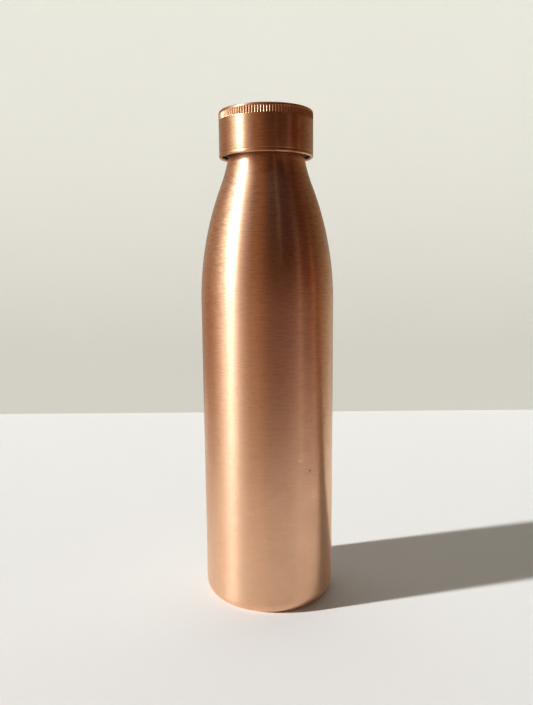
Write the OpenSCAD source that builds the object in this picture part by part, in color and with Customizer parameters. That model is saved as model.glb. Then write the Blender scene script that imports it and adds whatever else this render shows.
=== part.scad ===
// Copper water bottle with a screw cap.
// The origin is at the centre of the foot, on the table; +Z is up.
// Turning the cap anticlockwise, seen from above, lifts it by thread_pitch a turn.

/* [Body] */
// Outside radius of the straight barrel
body_r = 36; // [34:0.5:38]
// Height of the top of the straight barrel above the table
barrel_h = 165; // [130:1:200]
// Radius of the corner between the foot and the barrel
foot_corner_r = 6.5; // [5:0.5:7]
// Radius of the convex shoulder curve above the barrel
shoulder_r = 170; // [150:5:190]
// Angle that the shoulder curve turns inwards before the neck curve turns back, in degrees
shoulder_turn = 21.35; // [20.5:0.05:22.5]
// Outside radius that the neck curve narrows towards
throat_r = 19.1; // [18.8:0.1:19.2]
// How far below the narrowest height of the neck curve the neck is cut off
neck_cut = 6.65; // [6:0.05:8]
// Thickness of the copper sheet of the body, the base and the cap
sheet_t = 0.7; // [0.5:0.05:0.8]

/* [Base] */
// Width of the flat ring that the bottle stands on
foot_flat_w = 1.3; // [0.8:0.1:2]
// Radius of the hem where the foot turns up into the base opening
hem_r = 1.4; // [1:0.1:1.8]
// Height of the top of the hem and of the base disc's rim
base_rim_h = 4.5; // [4:0.1:6]
// Height of the lower edge of the base disc's turned-down flange
base_flange_h = 2; // [1.9:0.1:2.4]
// How much higher the middle of the base disc is than its rim
base_dome = 1.6; // [0.5:0.1:3]

/* [Collar and thread] */
// Height of the collar's lip above the cut edge of the copper neck
collar_h = 12.7; // [12:0.1:16]
// Radius of the drinking mouth through the collar
mouth_r = 17.3; // [15:0.1:17.6]
// Depth of the collar's spigot inside the neck
spigot_h = 5; // [4:0.5:8]
// Radius of the collar between the turns of its thread
thread_root_r = 19.3; // [19.2:0.05:19.5]
// Depth of the thread
thread_depth = 1.2; // [0.9:0.1:1.3]
// Rise of the thread in one turn
thread_pitch = 4; // [3.8:0.1:4.2]
// Number of turns of the thread
thread_turns = 2; // [1.5:0.25:2]
// Radial clearance between the collar and the thread of the cap
thread_gap = 0.3; // [0.2:0.05:0.4]

/* [Cap] */
// Outside radius of the cap's skirt
cap_r = 24.9; // [24.3:0.1:27]
// Height of the cap
cap_h = 23.5; // [22:0.1:25]
// Radius of the cap's top edge
cap_edge_r = 1; // [0.8:0.1:1.5]
// Radius of the rolled bead at the bottom of the skirt
bead_r = 0.85; // [0.7:0.05:1]
// Thickness of the roof of the plastic insert
insert_roof_t = 1.5; // [1:0.1:2.5]
// How far the underside of the insert is above the bottom of the cap
insert_recess = 1.9; // [1.8:0.1:3]
// Thickness of the gasket
gasket_t = 1.5; // [1:0.1:2.5]

/* [Knurled grip] */
// Number of grooves around the cap
groove_count = 100; // [60:4:110]
// Radius of the round tool that forms a groove
groove_r = 0.6; // [0.4:0.05:0.65]
// Depth of a groove
groove_depth = 0.32; // [0.15:0.01:0.4]
// Length of a groove
groove_len = 4; // [2:0.1:6]
// Distance from the top of the cap to the top of the grooves
groove_top_gap = 1.1; // [1:0.1:2]

/* [Hidden] */

// Segments of a full circle: usual curves, long flat arcs, small rounds and the groove tool
$fn = 180;
arc_fn = 720;
round_fn = 48;
groove_fn = 24;

copper = [0.80, 0.49, 0.35];
brass = [0.80, 0.64, 0.34];
filler = [0.83, 0.76, 0.60];
black_plastic = [0.07, 0.07, 0.07];
silicone = [0.88, 0.88, 0.85];

// Body: the shoulder and neck curves are two arcs that share a tangent at the bend
foot_centre_r = body_r - foot_corner_r;
shoulder_centre_r = body_r - shoulder_r;
neck_curve_r = (body_r - throat_r) / (1 - cos(shoulder_turn)) - shoulder_r;
neck_centre_r = throat_r + neck_curve_r;
throat_h = barrel_h + (shoulder_r + neck_curve_r) * sin(shoulder_turn);
neck_h = throat_h - neck_cut;

// Base: the foot's sheet turns up around hem_r into an opening that the disc closes
hem_centre_r = foot_centre_r - foot_flat_w;
opening_r = hem_centre_r - hem_r;
base_dome_r = (opening_r * opening_r + base_dome * base_dome) / (2 * base_dome);

// Collar: the spigot fills the cut neck apart from a film of filler metal
film_t = 0.1;
film_h = 2.5;
spigot_r = neck_wall_r(sheet_t, neck_h) - film_t;
flange_w = 0.6;
flange_r = thread_root_r + flange_w;
flange_t = 0.8;
fillet_w = 0.5;
lip_h = neck_h + collar_h;
lip_chamfer = 0.5;

// Thread: a trapezoid tooth whose flanks are the same on the collar and in the cap
tooth_crest_w = 1.2;
tooth_root_w = 2.6;
tooth_sink = 0.25;
tooth_gap = 0.35;
fade_turns = 0.12;
steps_a_turn = 48;
collar_thread_h = neck_h + flange_t + tooth_gap + tooth_root_w / 2;
insert_thread_h = collar_thread_h + thread_pitch / 2;
insert_turns = 0.8 * thread_turns;

// Cap
cap_top_h = lip_h + gasket_t + insert_roof_t + sheet_t;
cap_rim_h = cap_top_h - cap_h;
bead_proud = 0.1;
insert_r = cap_r - sheet_t;
insert_bore_r = thread_root_r + thread_depth + thread_gap;
insert_wall_t = 1.6;
insert_flange_t = 1.5;
insert_rib_w = 2;
insert_rib_count = 12;
insert_sleeve_r = insert_bore_r + insert_wall_t;
insert_base_h = cap_rim_h + insert_recess;
insert_top_h = cap_top_h - sheet_t;
insert_roof_h = insert_top_h - insert_roof_t;
gasket_lap = 0.7;
gasket_hole_r = mouth_r - gasket_lap;
gasket_r = insert_bore_r - thread_gap;

// ---- Outlines, drawn as half sections with the axis at x = 0

// Radius at height h on the neck curve, moved inwards by inset
function neck_wall_r(inset, h) =
    neck_centre_r - sqrt(pow(neck_curve_r + inset, 2) - pow(throat_h - h, 2));

// Outside of the body, moved inwards by inset, from the foot to the cut edge of the neck
module body_outline(inset) {
    bend_h = barrel_h + (shoulder_r - inset) * sin(shoulder_turn);
    bend_r = shoulder_centre_r + (shoulder_r - inset) * cos(shoulder_turn);
    // Foot and its round corner
    translate([0, inset])
        square([foot_centre_r, foot_corner_r - inset]);
    intersection() {
        translate([foot_centre_r, foot_corner_r])
            circle(foot_corner_r - inset);
        translate([foot_centre_r, 0])
            square(foot_corner_r);
    }
    // Barrel
    translate([0, foot_corner_r])
        square([body_r - inset, barrel_h - foot_corner_r]);
    // Shoulder
    intersection() {
        translate([shoulder_centre_r, barrel_h])
            circle(shoulder_r - inset, $fn = arc_fn);
        translate([0, barrel_h])
            square([body_r, bend_h - barrel_h]);
    }
    // Neck
    difference() {
        translate([0, barrel_h])
            square([bend_r, neck_h - barrel_h]);
        translate([neck_centre_r, throat_h])
            circle(neck_curve_r + inset, $fn = arc_fn);
    }
}

// Outside of the domed base disc and its turned-down flange, moved inwards by inset
module base_outline(inset) {
    intersection() {
        translate([0, base_rim_h + base_dome - base_dome_r])
            circle(base_dome_r - inset, $fn = arc_fn);
        translate([0, base_flange_h])
            square([opening_r - inset, base_rim_h + base_dome]);
    }
}

// Outside of the cap above its bead, moved inwards by inset
module cap_outline(inset) {
    corner_r = cap_edge_r - inset;
    corner_centre_r = cap_r - cap_edge_r;
    corner_centre_h = cap_top_h - cap_edge_r;
    skirt_base_h = cap_rim_h + bead_r;
    translate([0, skirt_base_h])
        square([cap_r - inset, corner_centre_h - skirt_base_h]);
    translate([0, corner_centre_h])
        square([corner_centre_r, corner_r]);
    intersection() {
        translate([corner_centre_r, corner_centre_h])
            circle(corner_r, $fn = round_fn);
        translate([corner_centre_r, corner_centre_h])
            square(cap_edge_r);
    }
}

// ---- Thread

// Share of its full depth that the tooth has at a place along the thread, both in turns
function fade(at, turns) = min(1, at / fade_turns, (turns - at) / fade_turns);

// Corners of the tooth's section at a place along the thread. side is 1 for a tooth that
// stands outwards from root_r and -1 for one that stands inwards
function tooth_section(root_r, side, at, turns) =
    let (crest = fade(at, turns) * (thread_depth + tooth_sink / 2) - tooth_sink / 2)
    let (flank = (tooth_root_w - tooth_crest_w) / (2 * thread_depth))
    let (half_base = tooth_crest_w / 2 + (crest + tooth_sink) * flank)
    [for (corner = [[-tooth_sink, -half_base], [crest, -tooth_crest_w / 2],
                    [crest, tooth_crest_w / 2], [-tooth_sink, half_base]])
        [(root_r + side * corner[0]) * cos(360 * at),
         (root_r + side * corner[0]) * sin(360 * at),
         corner[1] + thread_pitch * at]];

// One continuous right-hand thread tooth that fades into its wall at both ends
module thread_tooth(root_r, side, turns) {
    steps = round(turns * steps_a_turn);
    points = [for (i = [0 : steps]) each tooth_section(root_r, side, i * turns / steps, turns)];
    sides = [for (i = [0 : steps - 1], k = [0 : 3])
        let (next = (k + 1) % 4)
        side > 0
            ? [4 * i + next, 4 * i + 4 + next, 4 * i + 4 + k, 4 * i + k]
            : [4 * i + k, 4 * i + 4 + k, 4 * i + 4 + next, 4 * i + next]];
    start = side > 0 ? [3, 2, 1, 0] : [0, 1, 2, 3];
    end = [for (k = start) 4 * steps + 3 - k];
    polyhedron(points, concat([start], sides, [end]));
}

// ---- Bottle

// Drawn copper body with its foot turned under into a hem around the base opening
module body_shell() {
    color(copper)
    rotate_extrude() {
        difference() {
            body_outline(0);
            body_outline(sheet_t);
            square([hem_centre_r, sheet_t]);
        }
        difference() {
            intersection() {
                translate([hem_centre_r, hem_r])
                    circle(hem_r, $fn = round_fn);
                translate([opening_r, 0])
                    square(hem_r);
            }
            translate([hem_centre_r, hem_r])
                circle(hem_r - sheet_t, $fn = round_fn);
        }
        translate([opening_r, hem_r])
            square([sheet_t, base_rim_h - hem_r]);
    }
}

// Domed copper disc that closes the base opening
module base_disc() {
    color(copper)
    rotate_extrude()
        difference() {
            base_outline(0);
            base_outline(sheet_t);
        }
}

// Fillet of filler metal under the base disc's flange
module base_braze() {
    color(filler)
    rotate_extrude()
        polygon([[opening_r, hem_r], [opening_r, base_flange_h],
                 [opening_r - sheet_t, base_flange_h]]);
}

// Turned brass collar: spigot inside the neck, flange on its cut edge, threaded outside
module neck_collar() {
    color(brass)
    difference() {
        union() {
            rotate_extrude()
                polygon([[0, neck_h - spigot_h], [spigot_r, neck_h - spigot_h], [spigot_r, neck_h],
                         [flange_r, neck_h], [flange_r, neck_h + flange_t],
                         [thread_root_r, neck_h + flange_t], [thread_root_r, lip_h - lip_chamfer],
                         [thread_root_r - lip_chamfer, lip_h], [0, lip_h]]);
            translate([0, 0, collar_thread_h])
                thread_tooth(thread_root_r, 1, thread_turns);
        }
        translate([0, 0, neck_h - spigot_h - 1])
            cylinder(h = spigot_h + collar_h + 2, r = mouth_r);
    }
}

// Filler metal of the collar's joint: the film around the spigot and the fillet outside
module neck_braze() {
    color(filler)
    rotate_extrude() {
        translate([spigot_r, neck_h - film_h])
            square([film_t, film_h]);
        polygon([[neck_wall_r(0, neck_h), neck_h], [flange_r, neck_h],
                 [neck_wall_r(0, neck_h - fillet_w), neck_h - fillet_w]]);
    }
}

// ---- Cap

// Grooves of the grip, as the round-ended bars that form them
module grip_grooves() {
    bar_len = groove_len - 2 * groove_r;
    for (i = [0 : groove_count - 1])
        rotate(i * 360 / groove_count)
            translate([cap_r - groove_depth + groove_r, 0, cap_top_h - groove_top_gap - groove_r]) {
                sphere(groove_r, $fn = groove_fn);
                translate([0, 0, -bar_len]) {
                    sphere(groove_r, $fn = groove_fn);
                    cylinder(h = bar_len, r = groove_r, $fn = groove_fn);
                }
            }
}

// Drawn copper cap with a grooved grip and a rolled bead around its bottom
module cap_shell() {
    color(copper)
    difference() {
        rotate_extrude() {
            difference() {
                cap_outline(0);
                cap_outline(sheet_t);
            }
            translate([cap_r + bead_proud - bead_r, cap_rim_h + bead_r])
                circle(bead_r, $fn = round_fn);
        }
        grip_grooves();
    }
}

// Moulded insert: threaded sleeve with ribs and a flange that grip the cap shell
module cap_insert() {
    color(black_plastic)
    difference() {
        union() {
            translate([0, 0, insert_base_h])
                cylinder(h = insert_top_h - insert_base_h, r = insert_sleeve_r);
            translate([0, 0, insert_base_h])
                cylinder(h = insert_flange_t, r = insert_r);
            intersection() {
                translate([0, 0, insert_base_h])
                    cylinder(h = insert_top_h - insert_base_h, r = insert_r);
                for (i = [0 : insert_rib_count - 1])
                    rotate(i * 360 / insert_rib_count)
                        translate([insert_sleeve_r - insert_wall_t / 2, -insert_rib_w / 2, insert_base_h])
                            cube([insert_r, insert_rib_w, insert_roof_h - insert_base_h]);
            }
        }
        difference() {
            translate([0, 0, insert_base_h - 1])
                cylinder(h = insert_roof_h - insert_base_h + 1, r = insert_bore_r);
            translate([0, 0, insert_thread_h])
                thread_tooth(insert_bore_r, -1, insert_turns);
        }
    }
}

// Washer between the lip and the roof of the insert
module cap_gasket() {
    color(silicone)
    translate([0, 0, lip_h])
    difference() {
        cylinder(h = gasket_t, r = gasket_r);
        translate([0, 0, -1])
            cylinder(h = gasket_t + 2, r = gasket_hole_r);
    }
}

body_shell();
base_disc();
base_braze();
neck_collar();
neck_braze();
cap_shell();
cap_insert();
cap_gasket();
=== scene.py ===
"""The looks of a copper water bottle with a screw cap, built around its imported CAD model.

Every piece is turned around Z from a half outline of (radius, height) points in millimetres.
The driving sizes come from the boxes of the CAD nodes; the rest are the named values below.
"""
import math

import bmesh
import bpy
from mathutils import Matrix, Vector


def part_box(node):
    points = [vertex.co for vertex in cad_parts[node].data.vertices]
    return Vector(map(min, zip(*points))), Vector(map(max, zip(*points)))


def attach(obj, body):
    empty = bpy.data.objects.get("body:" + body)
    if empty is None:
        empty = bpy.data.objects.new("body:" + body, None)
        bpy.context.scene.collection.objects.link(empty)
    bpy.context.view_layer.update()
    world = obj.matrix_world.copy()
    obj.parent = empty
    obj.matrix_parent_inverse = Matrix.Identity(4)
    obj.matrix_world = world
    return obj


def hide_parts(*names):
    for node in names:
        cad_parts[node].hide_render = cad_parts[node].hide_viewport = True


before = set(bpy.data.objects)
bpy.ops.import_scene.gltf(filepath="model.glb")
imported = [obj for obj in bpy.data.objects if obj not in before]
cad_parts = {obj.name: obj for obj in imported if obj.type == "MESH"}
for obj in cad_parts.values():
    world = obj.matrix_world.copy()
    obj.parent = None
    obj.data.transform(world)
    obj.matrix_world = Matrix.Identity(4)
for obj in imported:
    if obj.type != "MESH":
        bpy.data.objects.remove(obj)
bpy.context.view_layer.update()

MM = 0.001


# ---------------------------------------------------------------- sizes, in millimetres

def top_of(node):
    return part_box(node)[1][2] / MM


def bottom_of(node):
    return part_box(node)[0][2] / MM


def radius_of(node):
    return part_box(node)[1][0] / MM


# Body: the shoulder and the neck are two arcs that share a tangent where the one gives way to
# the other, and the neck is cut off a little below its narrowest height
SHEET = 0.7
BODY_R = radius_of("body_shell")
NECK_TOP = top_of("body_shell")
BARREL_TOP = 165.0
FOOT_CORNER = 6.5
SHOULDER_R = 170.0
SHOULDER_TURN = math.radians(21.35)
NECK_CUT = 6.65
THROAT_HEIGHT = NECK_TOP + NECK_CUT
ARC_CENTRES_APART = (THROAT_HEIGHT - BARREL_TOP) / math.sin(SHOULDER_TURN)
NECK_CURVE = ARC_CENTRES_APART - SHOULDER_R
THROAT_R = BODY_R - ARC_CENTRES_APART * (1 - math.cos(SHOULDER_TURN))
NECK_WALL_R = THROAT_R + NECK_CURVE - math.sqrt(NECK_CURVE ** 2 - NECK_CUT ** 2)

# Base: the foot's sheet turns up around a hem into the opening that the base disc closes
OPENING_R = radius_of("base_disc")
FLANGE_BOTTOM = bottom_of("base_disc")
DOME_TOP = top_of("base_disc")
BASE_RIM = 4.5
BASE_BEND = 0.9
HEM = 1.4
FOOT_FLAT = BODY_R - FOOT_CORNER - HEM - OPENING_R

# Collar: its spigot fills the neck apart from a film of filler metal, and its flange lies on top
LIP = top_of("neck_collar")
SPIGOT_BOTTOM = bottom_of("neck_collar")
SPIGOT_R = NECK_WALL_R - SHEET - 0.1
MOUTH_R = 17.3
ROOT_R = 19.3
FLANGE_R = ROOT_R + 0.6
FLANGE_TOP = NECK_TOP + 0.8
# Height of the seam of filler metal under the flange
NECK_SEAM = 0.5

# Thread: a tooth with sloping flanks winds up around the collar, and another inside the cap
PITCH = 4.0
TURNS = 2.0
CAP_TURNS = 1.6
THREAD_DEPTH = 1.2
CREST_WIDTH = 1.2
ROOT_WIDTH = 2.6
FADE_TURNS = 0.12
THREAD_GAP = 0.35
THREAD_START = FLANGE_TOP + THREAD_GAP + ROOT_WIDTH / 2
CAP_THREAD_START = THREAD_START + PITCH / 2
# Height between the rings of points that carry a thread
THREAD_ROW = 0.12

# Cap
CAP_TOP = top_of("cap_shell")
CAP_RIM = bottom_of("cap_shell")
CAP_R = 24.9
CAP_EDGE = 1.0
TOP_DISH = 0.15
BEAD = 0.85
BEAD_PROUD = 0.1
COVE_DEPTH = 0.12
COVE_BOTTOM = CAP_RIM + 1.3
COVE_TOP = CAP_RIM + 2.4

# Grip: grooves with round ends, down from just under the cap's edge
GROOVES = 104
GROOVE_DEPTH = 0.32
GROOVE_HALF = 0.68
GROOVE_TOP = CAP_TOP - 1.1
GROOVE_BOTTOM = GROOVE_TOP - 4.0

# Inside the cap
INSERT_R = radius_of("cap_insert")
INSERT_BOTTOM = bottom_of("cap_insert")
INSERT_TOP = top_of("cap_insert")
INSERT_BORE = ROOT_R + THREAD_DEPTH + 0.3
ROOF = top_of("cap_gasket")
GASKET_R = radius_of("cap_gasket")
GASKET_HOLE = MOUTH_R - 0.7


# ---------------------------------------------------------------- turned meshes

# Two faces that meet at more than this angle have a sharp edge between them
SHARP_EDGE = math.radians(35)
# Two sizes less than this apart, in millimetres, are the same
SAME = 1e-6


def arc(centre_r, centre_z, radius, start, end, steps):
    """Points of an arc in the half section; angles in degrees, 0 outwards and 90 upwards."""
    points = []
    for i in range(steps + 1):
        angle = math.radians(start + (end - start) * i / steps)
        points.append((centre_r + radius * math.cos(angle), centre_z + radius * math.sin(angle)))
    return points


def line(start, end, steps):
    """Points from start to end, without the end itself."""
    return [tuple(a + (b - a) * i / steps for a, b in zip(start, end)) for i in range(steps)]


def rounded(corners, steps=5):
    """A closed outline of (radius, height, rounding) corners, each rounded by an arc."""
    points = []
    for i, (r, z, rounding) in enumerate(corners):
        if rounding == 0:
            points.append((r, z))
            continue
        here = Vector((r, z))
        before = (Vector(corners[i - 1][:2]) - here).normalized()
        after = (Vector(corners[(i + 1) % len(corners)][:2]) - here).normalized()
        half = before.angle(after) / 2
        reach = rounding / math.tan(half)
        centre = here + (before + after).normalized() * rounding / math.sin(half)
        start = here + before * reach - centre
        end = here + after * reach - centre
        for k in range(steps + 1):
            spoke = start.lerp(end, k / steps).normalized() * rounding
            points.append(tuple(centre + spoke))
    return points


def both_faces(outline):
    """The outline of a sheet, there along its outer face and back along its inner one."""
    return outline(0) + outline(SHEET)[::-1]


def columns_at(radius, columns, shortest):
    """How many columns a ring has: halved while its edges would be shorter than shortest."""
    if radius < SAME:
        return 1
    while columns % 2 == 0 and 2 * math.pi * radius / columns < shortest:
        columns //= 2
    return columns


def join_rings(mesh, low, high):
    """Faces between two rings of vertices, one of which may have half the vertices or just one."""
    if len(low) < len(high):
        low, high = high, low
    n = len(low) if len(low) > 1 else 0
    for i in range(n):
        a, b = low[i], low[(i + 1) % n]
        if len(high) == n:
            mesh.faces.new((a, b, high[(i + 1) % n], high[i]))
        elif len(high) == 1:
            mesh.faces.new((a, b, high[0]))
        elif i % 2 == 0:
            c = low[(i + 2) % n]
            half = i // 2
            mesh.faces.new((a, b, c, high[(half + 1) % len(high)], high[half]))


def turned(name, outline, columns=256, shape=None, closed=True, shortest=0.0, finer=None):
    """A smooth turned piece. shape(radius, height, angle) may move a point of the surface, and a
    ring has twice the columns where finer(radius, height) is true."""
    mesh = bmesh.new()
    rings = []
    for radius, height in outline:
        count = columns_at(radius, columns, shortest)
        if finer and finer(radius, height):
            count *= 2
        ring = []
        for i in range(count):
            angle = 2 * math.pi * i / count
            r, z = shape(radius, height, angle) if shape else (radius, height)
            ring.append(mesh.verts.new((r * math.cos(angle) * MM, r * math.sin(angle) * MM, z * MM)))
        rings.append(ring)
    for low, high in zip(rings, rings[1:]):
        join_rings(mesh, low, high)
    if closed:
        join_rings(mesh, rings[-1], rings[0])
    bmesh.ops.recalc_face_normals(mesh, faces=mesh.faces)
    for edge in mesh.edges:
        edge.smooth = edge.calc_face_angle(0) < SHARP_EDGE
    for face in mesh.faces:
        face.smooth = True
    data = bpy.data.meshes.new(name)
    mesh.to_mesh(data)
    mesh.free()
    piece = bpy.data.objects.new(name, data)
    bpy.context.scene.collection.objects.link(piece)
    return piece


# ---------------------------------------------------------------- body, base and seams

def body_outline(inset):
    """A face of the body's sheet, from the top of its hem to the cut edge of the neck: the outer
    face, moved in by inset."""
    turn = math.degrees(SHOULDER_TURN)
    cut = math.degrees(math.asin(NECK_CUT / NECK_CURVE))
    foot_r = BODY_R - FOOT_CORNER
    hem_r = foot_r - FOOT_FLAT
    points = line((OPENING_R + inset, BASE_RIM), (OPENING_R + inset, HEM), 6)
    points += arc(hem_r, HEM, HEM - inset, 180, 270, 10)
    points += arc(foot_r, FOOT_CORNER, FOOT_CORNER - inset, 270, 360, 28)
    points += line((BODY_R - inset, FOOT_CORNER + 1), (BODY_R - inset, BARREL_TOP), 40)
    points += arc(BODY_R - SHOULDER_R, BARREL_TOP, SHOULDER_R - inset, 0, turn, 50)
    points += arc(THROAT_R + NECK_CURVE, THROAT_HEIGHT, NECK_CURVE + inset,
                  180 + turn, 180 + cut, 24)[1:]
    return points


def base_outline(inset):
    """A face of the base disc's sheet, from its middle to the lower edge of its flange: the upper
    face, moved in by inset."""
    rise = DOME_TOP - BASE_RIM
    dome = (OPENING_R ** 2 + rise ** 2) / (2 * rise)
    edge = OPENING_R - inset
    bend = BASE_BEND - inset
    tilt = math.degrees(math.asin(edge / dome))
    points = arc(0, DOME_TOP - dome, dome - inset, 90, 90 - tilt * (edge - bend) / edge, 30)
    r, z = points[-1]
    # The bend and the flange each start just past the point before them
    points += arc(r, z - bend, bend, 88, 0, 8)
    points += line((edge, z - bend - 0.05), (edge, FLANGE_BOTTOM), 5)
    points.append((edge, FLANGE_BOTTOM))
    return points


def filler_seam(name, corner, leg_r, leg_z, steps=8):
    """A concave fillet of filler metal in the corner point, with legs along r and z."""
    r, z = corner
    points = [(r, z), (r + leg_r, z)]
    for i in range(1, steps):
        t = math.radians(90 * i / steps)
        points.append((r + leg_r * (1 - math.sin(t)), z + leg_z * (1 - math.cos(t))))
    points.append((r, z + leg_z))
    return turned(name, points)


def bottle_body():
    return turned("bottle_body", both_faces(body_outline))


def bottle_base():
    return turned("bottle_base", both_faces(base_outline), closed=False)


def base_filler():
    return filler_seam("base_filler", (OPENING_R, FLANGE_BOTTOM), -SHEET, HEM - FLANGE_BOTTOM)


def neck_filler():
    return filler_seam("neck_filler", (NECK_WALL_R, NECK_TOP), FLANGE_R - NECK_WALL_R, -NECK_SEAM)


# ---------------------------------------------------------------- collar, thread and washer

def thread_relief(height, angle, start, turns):
    """Height of the thread's tooth above its wall at a point of the wall."""
    best = 0.0
    flank = THREAD_DEPTH / ((ROOT_WIDTH - CREST_WIDTH) / 2)
    for turn in range(-1, math.ceil(turns) + 1):
        along = angle / (2 * math.pi) + turn
        if 0 <= along <= turns:
            across = abs(height - start - PITCH * along)
            full = THREAD_DEPTH * min(1, along / FADE_TURNS, (turns - along) / FADE_TURNS)
            rise = min(full, full - (across - CREST_WIDTH / 2) * flank)
            best = max(best, rise)
    return best


def collar_shape(radius, height, angle):
    if abs(radius - ROOT_R) > SAME:
        return radius, height
    return radius + thread_relief(height, angle, THREAD_START, TURNS), height


def liner_shape(radius, height, angle):
    if abs(radius - INSERT_BORE) > SAME:
        return radius, height
    return radius - thread_relief(height, angle, CAP_THREAD_START, CAP_TURNS), height


def threaded_wall(radius, low, high):
    """Corners without rounding up or down a wall, close enough together to carry a thread. The
    wall stops short of the rounded corners at its ends."""
    steps = math.ceil(abs(high - low) / THREAD_ROW)
    return [(radius, low + (high - low) * i / steps, 0) for i in range(steps + 1)]


def thread_collar():
    corners = [(MOUTH_R, SPIGOT_BOTTOM, 0.3), (SPIGOT_R, SPIGOT_BOTTOM, 0.3), (SPIGOT_R, NECK_TOP, 0)]
    corners += [(FLANGE_R, NECK_TOP, 0.2), (FLANGE_R, FLANGE_TOP, 0.2)]
    corners += threaded_wall(ROOT_R, FLANGE_TOP, LIP - 0.7)
    corners += [(ROOT_R, LIP, 0.5), (MOUTH_R, LIP, 0.6)]
    return turned("thread_collar", rounded(corners), columns=288, shape=collar_shape)


def cap_liner():
    corners = threaded_wall(INSERT_BORE, INSERT_BOTTOM + 0.4, ROOF - 0.3)
    corners += [(INSERT_BORE, ROOF, 0.2), (0, ROOF, 0), (0, INSERT_TOP, 0)]
    corners += [(INSERT_R, INSERT_TOP, 0.35), (INSERT_R, INSERT_BOTTOM, 0.35)]
    corners += [(INSERT_BORE, INSERT_BOTTOM, 0.3)]
    return turned("cap_liner", rounded(corners), columns=288, shape=liner_shape)


def sealing_washer():
    sides = [(GASKET_HOLE, LIP), (GASKET_R, LIP), (GASKET_R, ROOF), (GASKET_HOLE, ROOF)]
    corners = [(r, z, 0.25) for r, z in sides]
    return turned("sealing_washer", rounded(corners), columns=192)


# ---------------------------------------------------------------- cap

def groove_relief(height, angle):
    """Depth of the grip's grooves at a place on the skirt: a row of bars with round ends."""
    pitch = 2 * math.pi / GROOVES
    across = CAP_R * abs((angle + pitch / 2) % pitch - pitch / 2)
    past_end = max(0, height - (GROOVE_TOP - GROOVE_HALF), (GROOVE_BOTTOM + GROOVE_HALF) - height)
    share = min(1, math.hypot(across, past_end) / GROOVE_HALF)
    return GROOVE_DEPTH * (0.5 + 0.5 * math.cos(math.pi * share))


def cap_shape(radius, height, angle):
    if abs(radius - CAP_R) > SAME or not GROOVE_BOTTOM < height < GROOVE_TOP:
        return radius, height
    return radius - groove_relief(height, angle), height


def through_grip(radius, height):
    """True on the rings of the skirt that cross the grooves, and on the one just above them."""
    return abs(radius - CAP_R) < SAME and GROOVE_BOTTOM - 0.05 < height < CAP_TOP - CAP_EDGE + 0.01


def cove_points(steps=10):
    """The shallow cove that the roller leaves above the bead."""
    points = []
    for i in range(steps + 1):
        t = i / steps
        points.append((CAP_R - COVE_DEPTH * math.sin(math.pi * t) ** 2,
                       COVE_TOP + (COVE_BOTTOM - COVE_TOP) * t))
    return points


def top_points(edge_r):
    """The cap's top: a shallow dish, the slope out of it, and the flat up to the rounded edge."""
    dish_r = edge_r - 2
    flat_r = edge_r - 1
    dish_z = CAP_TOP - TOP_DISH
    points = line((0, dish_z), (dish_r, dish_z), 14)
    points += line((dish_r, dish_z), (flat_r, CAP_TOP), 3)
    points += line((flat_r, CAP_TOP), (edge_r, CAP_TOP), 2)
    return points


def cap_points():
    """The cap's sheet from the middle of its top, down and round its bead, and up to the middle
    of its ceiling."""
    bead_centre = CAP_R + BEAD_PROUD - BEAD
    bead_start = math.degrees(math.acos((BEAD - BEAD_PROUD) / BEAD))
    bead_end = -265
    inside = CAP_R - SHEET
    edge_r = CAP_R - CAP_EDGE
    edge_z = CAP_TOP - CAP_EDGE
    ceiling = CAP_TOP - SHEET
    below_grip = GROOVE_BOTTOM - 0.1
    points = top_points(edge_r)
    points += arc(edge_r, edge_z, CAP_EDGE, 90, 0, 12)[:-1]
    points += line((CAP_R, edge_z), (CAP_R, below_grip), 36)
    points += line((CAP_R, below_grip), (CAP_R, COVE_TOP), 4)
    points += cove_points()
    points += arc(bead_centre, CAP_RIM + BEAD, BEAD, bead_start, bead_end, 20)
    points += line((inside, CAP_RIM + 2 * BEAD + 0.1), (inside, edge_z), 4)
    points += arc(edge_r, edge_z, CAP_EDGE - SHEET, 0, 90, 4)
    points += line((edge_r - 1, ceiling), (0, ceiling), 14)
    points.append((0, ceiling))
    return points


def cap_skin():
    """Its rings have six columns to a groove, and twice as many through the grip."""
    return turned("cap_skin", cap_points(), columns=6 * GROOVES, shape=cap_shape, closed=False,
                  shortest=0.07, finer=through_grip)


# ---------------------------------------------------------------- node trees

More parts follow.
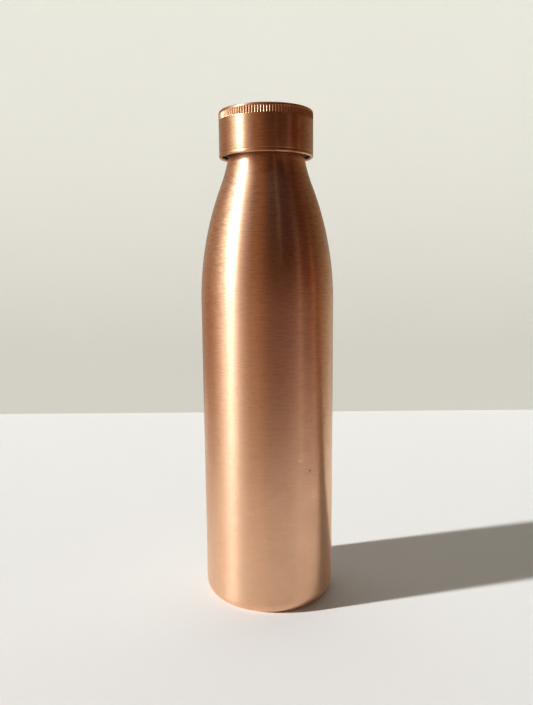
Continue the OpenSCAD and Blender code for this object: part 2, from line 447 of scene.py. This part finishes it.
class Nodes:
    """A node tree, with short calls for the nodes that the looks below share."""

    def __init__(self, tree):
        self.tree = tree

    def new(self, kind, *inputs, **settings):
        node = self.tree.nodes.new(kind)
        for key, value in settings.items():
            setattr(node, key, value)
        for socket, value in zip(node.inputs, inputs):
            self.put(socket, value)
        return node

    def put(self, socket, value):
        if isinstance(value, bpy.types.NodeSocket):
            self.tree.links.new(value, socket)
        elif value is not None:
            socket.default_value = value

    def math(self, operation, a, b=None, clamp=False):
        return self.new("ShaderNodeMath", a, b, operation=operation, use_clamp=clamp).outputs[0]

    def vector(self, x, y, z):
        return self.new("ShaderNodeCombineXYZ", x, y, z).outputs[0]

    def add(self, a, b):
        """The sum of two vectors."""
        return self.new("ShaderNodeVectorMath", a, b, operation="ADD").outputs[0]

    def scale(self, vector, share):
        node = self.new("ShaderNodeVectorMath", vector, operation="SCALE")
        self.put(node.inputs["Scale"], share)
        return node.outputs[0]

    def noise(self, vector, scale, detail=2.0, roughness=0.5):
        node = self.new("ShaderNodeTexNoise")
        self.put(node.inputs["Vector"], vector)
        self.put(node.inputs["Scale"], scale)
        self.put(node.inputs["Detail"], detail)
        self.put(node.inputs["Roughness"], roughness)
        return node.outputs["Fac"]

    def fit(self, value, low, high, to_low, to_high):
        """value's range low..high mapped onto to_low..to_high and clamped there."""
        return self.new("ShaderNodeMapRange", value, low, high, to_low, to_high).outputs[0]

    def blend(self, share, a, b):
        node = self.new("ShaderNodeMix", data_type="RGBA")
        self.put(node.inputs["Factor"], share)
        self.put(node.inputs["A"], a)
        self.put(node.inputs["B"], b)
        return node.outputs["Result"]

    def bump(self, height, distance, normal=None):
        node = self.new("ShaderNodeBump")
        self.put(node.inputs["Height"], height)
        self.put(node.inputs["Distance"], distance)
        self.put(node.inputs["Normal"], normal)
        return node.outputs["Normal"]


class SurfaceNodes(Nodes):
    """A new material's nodes, with the shaded point's place, its coordinates and its radius."""

    def __init__(self, name):
        self.material = bpy.data.materials.new(name)
        self.material.use_nodes = True
        super().__init__(self.material.node_tree)
        self.place = self.new("ShaderNodeTexCoord").outputs["Object"]
        self.x, self.y, self.z = self.new("ShaderNodeSeparateXYZ", self.place).outputs
        self.radius = self.math("SQRT", self.math("ADD", self.math("MULTIPLY", self.x, self.x),
                                                  self.math("MULTIPLY", self.y, self.y)))

    def surface(self, sockets):
        """The finished material, with these values or links on its shader's sockets."""
        shader = self.tree.nodes["Principled BSDF"]
        for name, value in sockets.items():
            self.put(shader.inputs[name], value)
        return self.material


# ---------------------------------------------------------------- metals

# The usual, the worn and the dark tone of each metal
BODY_COPPER = [(0.965, 0.615, 0.405, 1), (0.985, 0.665, 0.465, 1), (0.66, 0.37, 0.22, 1)]
CAP_COPPER = [(0.84, 0.52, 0.32, 1), (0.87, 0.57, 0.37, 1), (0.54, 0.29, 0.15, 1)]
BASE_COPPER = [(0.82, 0.43, 0.26, 1), (0.985, 0.665, 0.465, 1), (0.66, 0.37, 0.22, 1)]
BRASS = [(0.84, 0.62, 0.27, 1), (0.9, 0.7, 0.36, 1), (0.5, 0.32, 0.11, 1)]

# Brush lines: about how many strokes to the metre around and along the piece, and their share.
# The last row is the main one, whose strokes also turn the surface sideways, by this slope at most
BRUSH_LINES = [(300, 4200, 0.20), (70, 900, 0.14), (210, 1900, 0.66)]
STROKE_LEAN = 0.025
# The brush lines are faint up to the first height and strong from the second: heights in millimetres,
# and how dark the lines are there. The lines are the metal's own; their darkening towards the top is
# painted shade
FAINT_LINES_TO = 60.0
SHADED_LINES_FROM = 200.0
FAINT_LINE_DEPTH = 0.09
SHADED_LINE_DEPTH = 0.58
# How much the brush lines change the roughness, and the depth of the surface's relief in metres
ROUGHNESS_SWING = 0.045
BRUSH_RELIEF = 0.000014
MOTTLE_RELIEF = 0.00002
# Reflections are drawn out up and down, a quarter turn from the brush lines, which run around Z
ANISOTROPY = 0.93
QUARTER_TURN = 0.25

# Small pits in the body: degrees right of the front, height and radius in millimetres
BODY_PITS = [(36.9, 78, 0.55), (-128.0, 60, 0.45), (160.0, 120, 0.4), (115.0, 35, 0.35)]
PIT = (0.12, 0.03, 0.015, 1)
PIT_SHARE = 0.92


def strokes(n, along, around_scale, along_scale):
    """Noise drawn out into strokes around Z."""
    stretched = n.vector(n.math("MULTIPLY", n.x, around_scale),
                         n.math("MULTIPLY", n.y, around_scale),
                         n.math("MULTIPLY", along, along_scale))
    return n.noise(stretched, scale=1.0, detail=2.0, roughness=0.6)


def pitting(n, pits):
    """1 in the middle of each pit, and 0 from its edge outwards."""
    pitted = 0.0
    for degrees, height, size in pits:
        turn = math.radians(degrees)
        spot = Vector((BODY_R * math.sin(turn), -BODY_R * math.cos(turn), height)) * MM
        away = n.new("ShaderNodeVectorMath", n.place, spot, operation="DISTANCE").outputs["Value"]
        pitted = n.math("ADD", pitted, n.fit(away, size * 0.5 * MM, size * MM, 1.0, 0.0))
    return pitted


def brushed_metal(name, tones, roughness, lines=1.0, run=1.0, pits=()):
    """Metal brushed around Z. lines is how strong its brush lines are, and run is 1 where height
    grows with radius along the surface, else -1."""
    n = SurfaceNodes(name)
    usual, worn, dark = tones
    along = n.math("ADD", n.z, n.math("MULTIPLY", n.radius, run))
    brushing = 0.0
    main_strokes = None
    for around_scale, along_scale, share in BRUSH_LINES:
        main_strokes = strokes(n, along, around_scale, along_scale)
        brushing = n.math("ADD", brushing, n.math("MULTIPLY", main_strokes, share))
    mottle = n.noise(n.place, scale=140.0, detail=4.0, roughness=0.6)
    patches = n.noise(n.place, scale=22.0, detail=3.0, roughness=0.5)

    tone = n.blend(n.fit(mottle, 0.35, 0.7, 0.0, 0.6), usual, worn)
    tone = n.blend(n.fit(patches, 0.4, 0.75, 0.0, 0.18), tone, dark)
    in_line = n.fit(brushing, 0.40, 0.54, 1.0, 0.0)
    # Painted shade: the brush lines are drawn darker towards the top
    depth = n.fit(n.z, FAINT_LINES_TO * MM, SHADED_LINES_FROM * MM, FAINT_LINE_DEPTH * lines, SHADED_LINE_DEPTH * lines)
    tone = n.blend(n.math("MULTIPLY", in_line, depth), tone, dark)
    if pits:
        tone = n.blend(n.math("MULTIPLY", pitting(n, pits), PIT_SHARE), tone, PIT)

    line_rough = n.fit(brushing, 0.3, 0.7, ROUGHNESS_SWING * lines, -ROUGHNESS_SWING * lines)
    patch_rough = n.fit(patches, 0.4, 0.7, 0.0, 0.05)
    rough = n.math("ADD", n.math("ADD", line_rough, patch_rough), roughness)

    tangent = n.new("ShaderNodeTangent", direction_type="RADIAL", axis="Z").outputs[0]
    lean = n.fit(main_strokes, 0.2, 0.8, -STROKE_LEAN * lines, STROKE_LEAN * lines)
    normal = n.bump(mottle, MOTTLE_RELIEF, n.bump(brushing, BRUSH_RELIEF * lines))
    normal = n.add(normal, n.scale(tangent, lean))
    normal = n.new("ShaderNodeVectorMath", normal, operation="NORMALIZE").outputs[0]
    return n.surface({"Base Color": tone, "Metallic": 1.0, "Roughness": rough, "Normal": normal,
                      "Anisotropic": ANISOTROPY, "Anisotropic Rotation": QUARTER_TURN,
                      "Tangent": tangent})


def filler_metal():
    n = SurfaceNodes("filler metal")
    pooled = n.noise(n.place, scale=400.0, detail=3.0, roughness=0.55)
    stain = n.noise(n.place, scale=70.0, detail=3.0, roughness=0.6)
    tone = n.blend(n.fit(pooled, 0.3, 0.7, 0.0, 1.0), (0.72, 0.60, 0.40, 1), (0.82, 0.75, 0.60, 1))
    tone = n.blend(n.fit(stain, 0.45, 0.75, 0.0, 0.7), tone, (0.38, 0.22, 0.13, 1))
    return n.surface({"Base Color": tone, "Metallic": 1.0,
                      "Roughness": n.fit(pooled, 0.3, 0.7, 0.25, 0.45),
                      "Normal": n.bump(pooled, 0.00012)})


# ---------------------------------------------------------------- plastic and silicone

def moulded_plastic():
    n = SurfaceNodes("black moulded plastic")
    grain = n.noise(n.place, scale=5000.0, detail=2.0, roughness=0.5)
    flow = n.noise(n.place, scale=60.0, detail=3.0, roughness=0.5)
    tone = n.blend(n.fit(flow, 0.3, 0.7, 0.0, 1.0), (0.012, 0.012, 0.012, 1), (0.022, 0.021, 0.020, 1))
    rough = n.math("ADD", n.fit(grain, 0.3, 0.7, 0.42, 0.52), n.fit(flow, 0.3, 0.7, -0.04, 0.04))
    return n.surface({"Base Color": tone, "Roughness": rough, "Normal": n.bump(grain, 0.00003)})


def silicone_rubber():
    n = SurfaceNodes("white silicone")
    bloom = n.noise(n.place, scale=120.0, detail=4.0, roughness=0.6)
    grain = n.noise(n.place, scale=3000.0, detail=2.0, roughness=0.5)
    tone = n.blend(n.fit(bloom, 0.3, 0.7, 0.0, 1.0), (0.74, 0.73, 0.69, 1), (0.84, 0.83, 0.80, 1))
    return n.surface({"Base Color": tone, "Roughness": n.fit(bloom, 0.3, 0.7, 0.45, 0.6),
                      "Subsurface Weight": 0.25, "Subsurface Radius": (0.002, 0.002, 0.0018),
                      "Subsurface Scale": 0.3, "Normal": n.bump(grain, 0.00003)})


# ---------------------------------------------------------------- the pieces

copper = brushed_metal("brushed copper", BODY_COPPER, 0.305, pits=BODY_PITS)
copper_cap = brushed_metal("brushed copper of the cap", CAP_COPPER, 0.305, lines=0.8, run=-1.0)
copper_base = brushed_metal("turned copper of the base", BASE_COPPER, 0.42, lines=1.6)
brass = brushed_metal("turned brass", BRASS, 0.34, lines=1.2)
filler = filler_metal()

# Each piece, the body it rides on, the CAD node it stands for, its slot in the record, its material
PIECES = [
    (bottle_body(), "bottle", "body_shell", "copper_body", copper),
    (bottle_base(), "bottle", "base_disc", "copper_base", copper_base),
    (base_filler(), "bottle", "base_braze", "filler_metal", filler),
    (neck_filler(), "bottle", "neck_braze", "filler_metal", filler),
    (thread_collar(), "bottle", "neck_collar", "collar_brass", brass),
    (cap_liner(), "cap", "cap_insert", "black_plastic", moulded_plastic()),
    (sealing_washer(), "washer", "cap_gasket", "silicone", silicone_rubber()),
    (cap_skin(), "cap", "cap_shell", "copper_cap", copper_cap),
]
for piece, body_name, node, slot, material in PIECES:
    piece.data.materials.append(material)
    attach(piece, body_name)
    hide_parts(node)


# ---------------------------------------------------------------- floor and backdrop, in metres

FLOOR_TONE = (0.815, 0.82, 0.825, 1)
BACKDROP_TONE = (0.94, 0.955, 0.90, 1)
# The far edge of the floor, which the camera sees against the backdrop
FLOOR_END = 0.42
# How far the wide floor lies below the near one
FLOOR_STEP = 0.0002


def plane(name, centre, half_x, half_y, turn, material):
    """A flat rectangle, turned about X by turn degrees."""
    data = bpy.data.meshes.new(name)
    corners = [(-half_x, -half_y, 0), (half_x, -half_y, 0), (half_x, half_y, 0), (-half_x, half_y, 0)]
    data.from_pydata(corners, [], [(0, 1, 2, 3)])
    data.materials.append(material)
    piece = bpy.data.objects.new(name, data)
    bpy.context.scene.collection.objects.link(piece)
    piece.matrix_world = Matrix.Translation(centre) @ Matrix.Rotation(math.radians(turn), 4, "X")
    return piece


def flat(name, left, front, right, back, height, material):
    """A level rectangle of the floor."""
    return plane(name, ((left + right) / 2, (front + back) / 2, height), (right - left) / 2,
                 (back - front) / 2, 0, material)


def matt(name, colour):
    n = SurfaceNodes(name)
    cloudy = n.noise(n.place, scale=3.0, detail=2.0, roughness=0.5)
    darker = tuple(c * 0.97 for c in colour[:3]) + (1,)
    return n.surface({"Base Color": n.blend(cloudy, darker, colour), "Roughness": 0.9})


# The metal mirrors only the near floor; the wide floor and the backdrop are for the eye
pale_floor = matt("pale floor", FLOOR_TONE)
flat("floor", left=-0.32, front=-0.25, right=0.36, back=FLOOR_END, height=0.0, material=pale_floor)
wide_floor = flat("wide_floor", left=-3.0, front=-3.0, right=3.0, back=FLOOR_END,
                  height=-FLOOR_STEP, material=pale_floor)
wide_floor.visible_glossy = False
backdrop = plane("backdrop", centre=(0, 1.0, 0.7), half_x=2.0, half_y=1.4, turn=90,
                 material=matt("pale backdrop", BACKDROP_TONE))
backdrop.visible_glossy = False


# ---------------------------------------------------------------- light

# Directions of the low sun and of the window's glow: degrees left of the camera's side, and up
SUN = (75.9, 17.0)
WINDOW = (70.3, 29.0)

# What the metal mirrors of the room: degrees to the right of the camera's side, then the tone low
# in the room and the tone high in it. Heights are sines of the angle above the horizon
ROOM = [
    (-180, (0.40, 0.34, 0.30), (0.30, 0.27, 0.24)),
    (-150, (0.44, 0.34, 0.27), (0.46, 0.42, 0.38)),
    (-123, (0.27, 0.07, 0.015), (0.33, 0.22, 0.15)),
    (-100, (0.37, 0.16, 0.05), (0.40, 0.33, 0.25)),
    (-40, (0.30, 0.13, 0.05), (0.16, 0.055, 0.008)),
    (-20, (0.36, 0.18, 0.08), (0.14, 0.042, 0.005)),
    (0, (0.22, 0.08, 0.02), (0.04, 0.010, 0.002)),
    (25, (0.16, 0.025, 0.001), (0.006, 0.003, 0.001)),
    (50, (0.25, 0.045, 0.003), (0.02, 0.005, 0.001)),
    (80, (0.23, 0.04, 0.002), (0.05, 0.014, 0.003)),
    (100, (0.33, 0.18, 0.10), (0.09, 0.040, 0.020)),
    (122, (0.44, 0.34, 0.22), (0.16, 0.10, 0.07)),
    (145, (0.72, 0.74, 0.68), (0.19, 0.13, 0.07)),
]
LOW_TONE_TO = -0.28
HIGH_TONE_FROM = 0.20
# Bright upright bands added to it: degrees to the right, half width, tone, lowest and highest sine
BANDS = [
    (-70.5, 35.0, (0.82, 0.92, 1.00), -1.0, 0.85),
    (-70.0, 20.0, (0.63, 0.70, 0.76), 0.20, 0.85),
    (-88.0, 25.0, (1.70, 1.90, 2.05), 0.40, 0.85),
    (-14.0, 22.0, (0.110, 0.066, 0.022), 0.34, 0.85),
    (26.0, 1.0, (3.2, 2.1, 1.3), 0.58, 0.63),
    (-18.0, 2.4, (0.130, 0.105, 0.080), -0.3, 0.2),
    (58.0, 4.0, (0.200, 0.140, 0.090), -0.25, 0.42),
    (86.0, 4.0, (0.260, 0.170, 0.095), -0.25, 0.15),
]
BAND_FALLOFF = -3.0
BAND_FADE = 0.1
# The ceiling that the metal mirrors, and the sines between which the room gives way to it
CEILING = (0.40, 0.37, 0.34, 1)
CEILING_FROM = 0.85
CEILING_FULL = 0.97
# The light that the room gives to matt surfaces, and the tone that the eye sees past the backdrop
ROOM_FILL = (0.153, 0.125, 0.098, 1)
ROOM_SEEN = (0.73, 0.72, 0.65, 1)


def sun_light(name, direction, energy, angle, colour):
    """A sun lamp shining from direction; angle is how wide it is, in degrees."""
    data = bpy.data.lights.new(name, "SUN")
    data.energy = energy
    data.color = colour
    data.angle = math.radians(angle)
    lamp = bpy.data.objects.new(name, data)
    bpy.context.scene.collection.objects.link(lamp)
    left, up = (math.radians(degrees) for degrees in direction)
    shine = Vector((math.sin(left) * math.cos(up), math.cos(left) * math.cos(up), -math.sin(up)))
    lamp.matrix_world = shine.to_track_quat("-Z", "Y").to_matrix().to_4x4()
    return lamp


def around(n, azimuth, tones):
    """A soft ramp of (degrees, tone) right round the room, first tone at the back."""
    ramp = n.new("ShaderNodeValToRGB", n.fit(azimuth, -math.pi, math.pi, 0.0, 1.0))
    ramp.color_ramp.interpolation = "B_SPLINE"
    stops = ramp.color_ramp.elements
    stops.remove(stops[1])
    stops[0].position = 0.0
    stops[0].color = tones[0][1] + (1,)
    for degrees, tone in tones[1:] + [(180, tones[0][1])]:
        stops.new((degrees + 180) / 360).color = tone + (1,)
    return ramp.outputs["Color"]


def band(n, azimuth, sine, degrees, half_width, tone, low, high):
    """A band's light, which falls off to both sides and fades out past low and high."""
    offset = n.math("SUBTRACT", azimuth, math.radians(degrees))
    offset = n.math("DIVIDE", offset, math.radians(half_width))
    falloff = n.math("ADD", n.math("MULTIPLY", offset, offset), 1.0)
    falloff = n.math("POWER", falloff, BAND_FALLOFF)
    ends = n.math("MULTIPLY", n.fit(sine, low - BAND_FADE, low, 0.0, 1.0),
                  n.fit(sine, high, high + BAND_FADE, 1.0, 0.0))
    return n.scale(tone, n.math("MULTIPLY", falloff, ends))


def mirrored_room(n, azimuth, sine):
    low_tones = around(n, azimuth, [(degrees, low) for degrees, low, high in ROOM])
    high_tones = around(n, azimuth, [(degrees, high) for degrees, low, high in ROOM])
    tones = n.blend(n.fit(sine, LOW_TONE_TO, HIGH_TONE_FROM, 0.0, 1.0), low_tones, high_tones)
    for row in BANDS:
        tones = n.add(tones, band(n, azimuth, sine, *row))
    return n.blend(n.fit(sine, CEILING_FROM, CEILING_FULL, 0.0, 1.0), tones, CEILING)


def surround():
    """A pale room to the eye and to the floor, and a dim warm one in the metal's reflections."""
    world = bpy.data.worlds.new("surround")
    world.use_nodes = True
    n = Nodes(world.node_tree)
    ray = n.new("ShaderNodeLightPath")
    direction = n.new("ShaderNodeTexCoord").outputs["Generated"]
    x, y, sine = n.new("ShaderNodeSeparateXYZ", direction).outputs
    azimuth = n.math("ARCTAN2", x, n.math("MULTIPLY", y, -1.0))
    # Only for a glossy ray that has not bounced off anything matt on its way
    glossy = n.math("SUBTRACT", ray.outputs["Is Glossy Ray"], ray.outputs["Diffuse Depth"], clamp=True)
    tone = n.blend(glossy, ROOM_FILL, mirrored_room(n, azimuth, sine))
    tone = n.blend(ray.outputs["Is Camera Ray"], tone, ROOM_SEEN)
    n.put(n.tree.nodes["Background"].inputs["Color"], tone)
    bpy.context.scene.world = world


# The sun lights the floor and the backdrop; its wide glow in a window is what the metal mirrors
sun = sun_light("sun", SUN, energy=7.15, angle=2.5, colour=(1.0, 1.0, 0.99))
sun.visible_glossy = False
glow = sun_light("window_glow", WINDOW, energy=0.95, angle=17.0, colour=(0.86, 1.0, 1.12))
glow.visible_diffuse = False
surround()


# ---------------------------------------------------------------- camera

# Place in metres, tilt down and roll in degrees, and sensor and lens in millimetres
CAMERA_PLACE = (-0.0007, -0.3521, 0.189)
CAMERA_TILT = 8.458
CAMERA_ROLL = -0.473
SENSOR_HEIGHT = 24.0
LENS = 21.794
NEAREST_SEEN = 0.01


def photo_camera():
    """A camera at the photograph's viewing angle."""
    data = bpy.data.cameras.new("camera")
    data.sensor_fit = "VERTICAL"
    data.sensor_height = SENSOR_HEIGHT
    data.lens = LENS
    data.clip_start = NEAREST_SEEN
    camera = bpy.data.objects.new("camera", data)
    bpy.context.scene.collection.objects.link(camera)
    camera.matrix_world = (Matrix.Translation(CAMERA_PLACE)
                           @ Matrix.Rotation(math.radians(90 - CAMERA_TILT), 4, "X")
                           @ Matrix.Rotation(math.radians(CAMERA_ROLL), 4, "Z"))
    return camera


bpy.context.scene.camera = photo_camera()
bpy.context.scene.view_settings.view_transform = "Standard"
bpy.context.scene.view_settings.gamma = 0.88
bpy.context.scene.view_settings.exposure = 0.13
